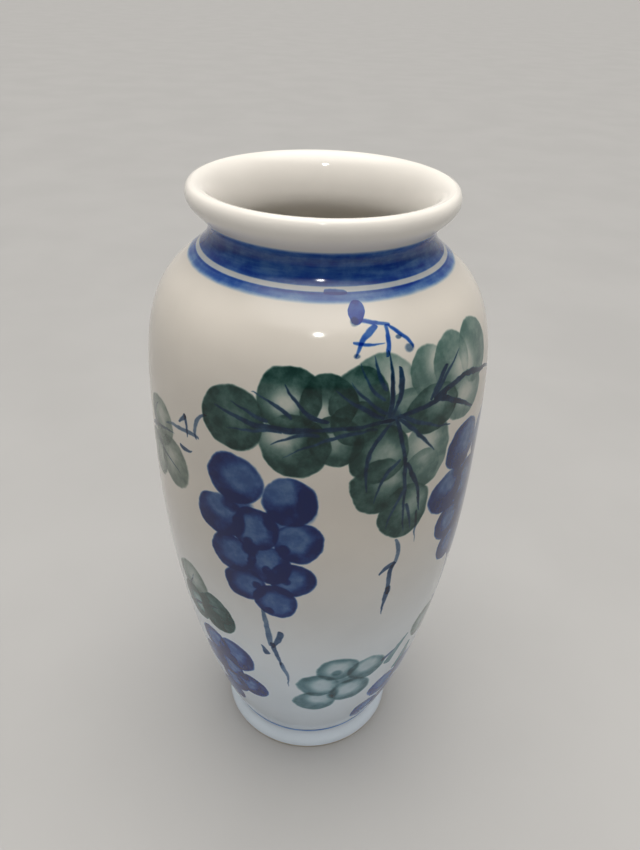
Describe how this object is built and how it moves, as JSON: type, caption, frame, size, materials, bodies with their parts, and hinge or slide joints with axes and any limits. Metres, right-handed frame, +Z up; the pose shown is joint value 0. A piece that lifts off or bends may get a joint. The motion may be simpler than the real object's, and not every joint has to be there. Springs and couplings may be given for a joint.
{
  "type": "porcelain vase",
  "caption": "Tall free-standing vase with high shoulders, a short neck, a rolled flaring lip and a recessed foot ring, glazed inside and out.",
  "frame": {"origin": "centre of the foot ring's resting face", "axes": "+Z up along the vase's axis; -Y faces the viewer of the picture; +X to the viewer's right"},
  "size_m": [0.1284, 0.1284, 0.26],
  "materials": {
    "biscuit": "bare fired porcelain, matt, faintly gritty, slightly soiled from standing",
    "clay_body": "dense white fired clay, hidden under the glaze",
    "painted_glaze": "glossy clear glaze over cobalt blue and green brushwork on a cool white ground",
    "plain_glaze": "glossy warm white glaze with a few tiny iron specks"
  },
  "bodies": {
    "root": {"foot_ring": "biscuit", "base_floor": "clay_body", "lower_body": "clay_body", "belly": "clay_body", "shoulder": "clay_body", "neck": "clay_body", "mouth_rim": "clay_body", "outer_glaze": "painted_glaze", "inner_glaze": "plain_glaze", "base_glaze": "plain_glaze"}
  },
  "joints": []
}
